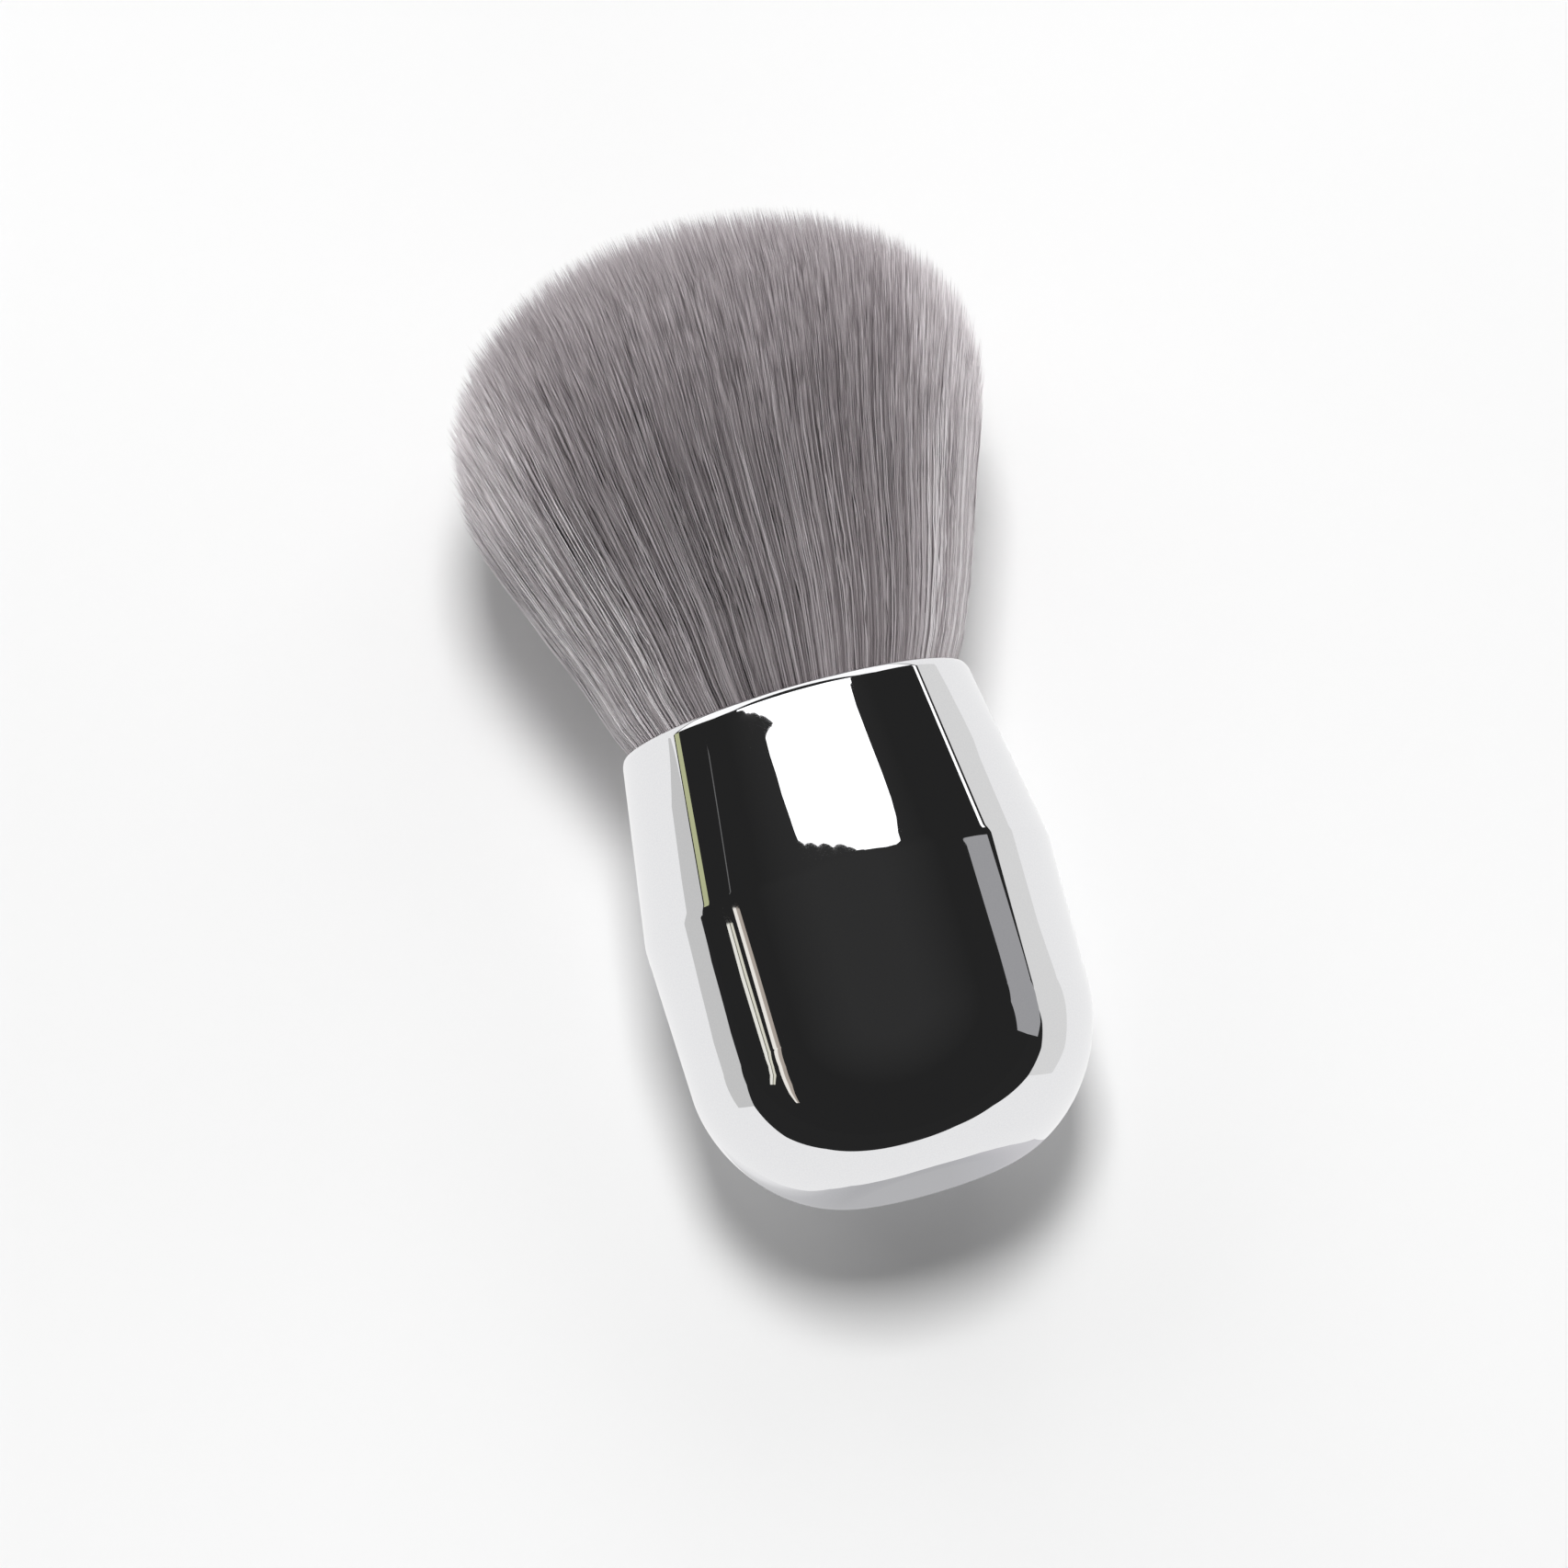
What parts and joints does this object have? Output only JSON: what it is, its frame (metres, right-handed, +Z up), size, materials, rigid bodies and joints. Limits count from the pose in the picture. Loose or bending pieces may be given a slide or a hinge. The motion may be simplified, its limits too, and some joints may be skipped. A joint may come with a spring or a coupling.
{
  "type": "nail dust brush",
  "caption": "Short round brush with a domed fan of soft hair in a tapered mirror-finish metal handle with a flat base, lying on its side.",
  "frame": {"origin": "on the surface it lies on, under the middle of its box", "axes": "+Y from the handle's base to the head of hair, +Z up, X across; the brush's own axis rises 5.0 degrees towards the head"},
  "size_m": [0.0496, 0.0934, 0.0494],
  "materials": {
    "handle_chrome": "mirror plated",
    "foam_tape": "matte closed-cell foam",
    "weight_steel": "turned",
    "insert_plastic": "moulded, satin",
    "ferrule_aluminium": "drawn, bright",
    "resin": "cast epoxy",
    "binding_thread": "wound nylon thread",
    "hair": "fine synthetic hair, soft sheen"
  },
  "bodies": {
    "root": {"handle_shell": "handle_chrome", "weight_pad": "foam_tape", "base_weight": "weight_steel", "handle_insert": "insert_plastic", "hair_ferrule": "ferrule_aluminium", "root_resin": "resin", "root_binding": "binding_thread", "bristles": "hair"}
  },
  "joints": []
}
